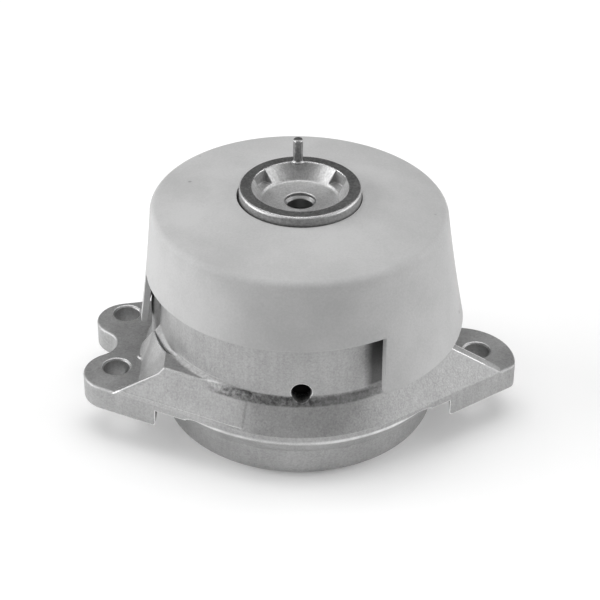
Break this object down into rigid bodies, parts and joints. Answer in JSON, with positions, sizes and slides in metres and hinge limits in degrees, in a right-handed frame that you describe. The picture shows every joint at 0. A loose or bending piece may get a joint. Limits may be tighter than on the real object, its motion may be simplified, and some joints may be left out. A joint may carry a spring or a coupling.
{
  "type": "engine mount",
  "caption": "Hydraulic engine mount: die-cast aluminium housing with bolting ears, cast core with a threaded insert and locating pin, and a rubber cap.",
  "frame": {"origin": "centre of the bowl's flat base, on the mount's axis", "axes": "+Z along the core's thread, up; +X towards the ear with one hole; -Y towards the drain hole"},
  "size_m": [0.1722, 0.1268, 0.1095],
  "materials": {
    "cast_aluminium": "sand-blasted die casting",
    "core_aluminium": "sand-blasted die casting",
    "insert_steel": "turned steel",
    "ring_steel": "phosphated steel",
    "spring_rubber": "moulded natural rubber",
    "plate_aluminium": "die casting",
    "membrane_rubber": "moulded rubber",
    "rivet_aluminium": "drawn aluminium",
    "seal_rubber": "moulded rubber",
    "bellows_rubber": "moulded rubber",
    "buffer_rubber": "moulded rubber",
    "stop_steel": "pressed steel",
    "retaining_steel": "phosphated spring steel",
    "cap_rubber": "matt grey moulded rubber"
  },
  "bodies": {
    "root": {"housing": "cast_aluminium", "core": "core_aluminium", "thread_insert": "insert_steel", "outer_ring": "ring_steel", "main_spring": "spring_rubber", "upper_channel_plate": "plate_aluminium", "lower_channel_plate": "plate_aluminium", "decoupler_membrane": "membrane_rubber", "plate_rivets": "rivet_aluminium", "seal_ring": "seal_rubber", "bellows": "bellows_rubber", "bellows_ring": "ring_steel", "rebound_buffer": "buffer_rubber", "stop_ring": "stop_steel", "retaining_ring": "retaining_steel", "rubber_cap": "cap_rubber"}
  },
  "joints": []
}
